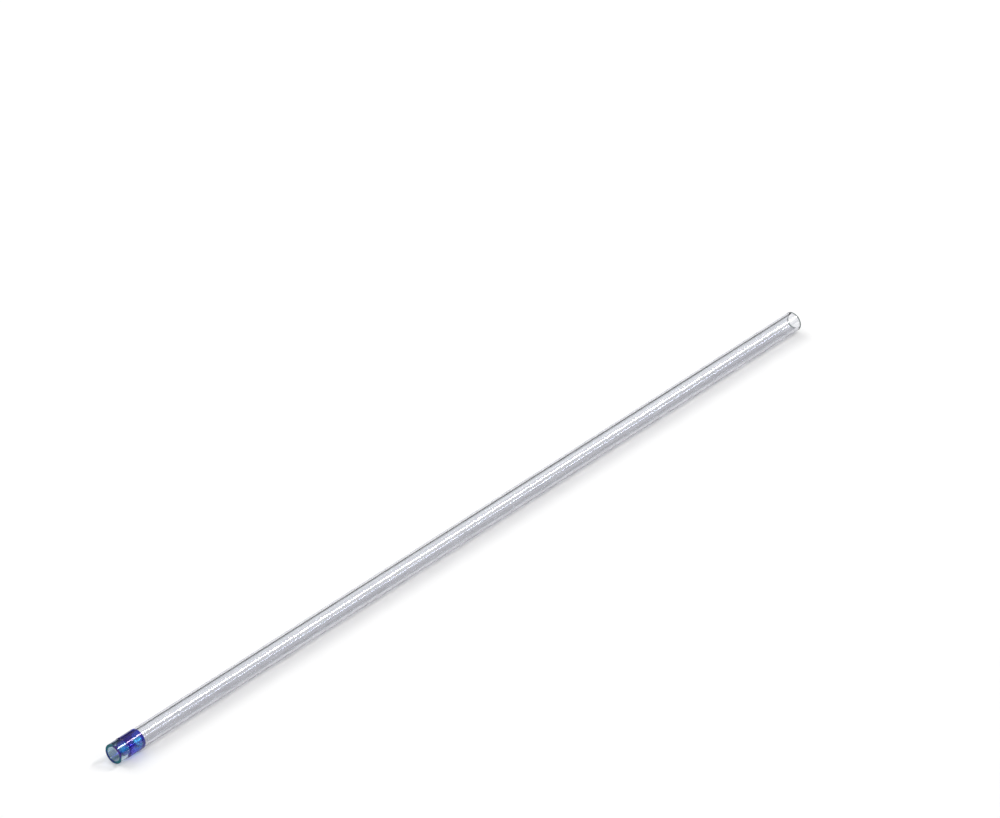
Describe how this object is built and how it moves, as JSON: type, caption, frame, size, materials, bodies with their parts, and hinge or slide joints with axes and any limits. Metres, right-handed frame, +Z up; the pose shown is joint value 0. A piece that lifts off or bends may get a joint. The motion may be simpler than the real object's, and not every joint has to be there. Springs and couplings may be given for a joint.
{
  "type": "glass capillary tube",
  "caption": "Straight thin-walled glass capillary tube, open at both ends, with a translucent blue colour-code band near one end, for drawing up and spinning small blood samples.",
  "frame": {"origin": "on the surface the tube lies on, under the middle of its length", "axes": "+X along the bore, from the end with the colour band to the plain end; +Z up; +Y across the tube"},
  "size_m": [0.075, 0.0016, 0.0016],
  "materials": {
    "clear_glass": "clear drawn glass, polished by flame at the cut ends",
    "blue_band": "glossy translucent blue colour fired on to the glass, denser along its two edges"
  },
  "bodies": {
    "root": {"glass_tube": "clear_glass", "colour_band": "blue_band"}
  },
  "joints": []
}
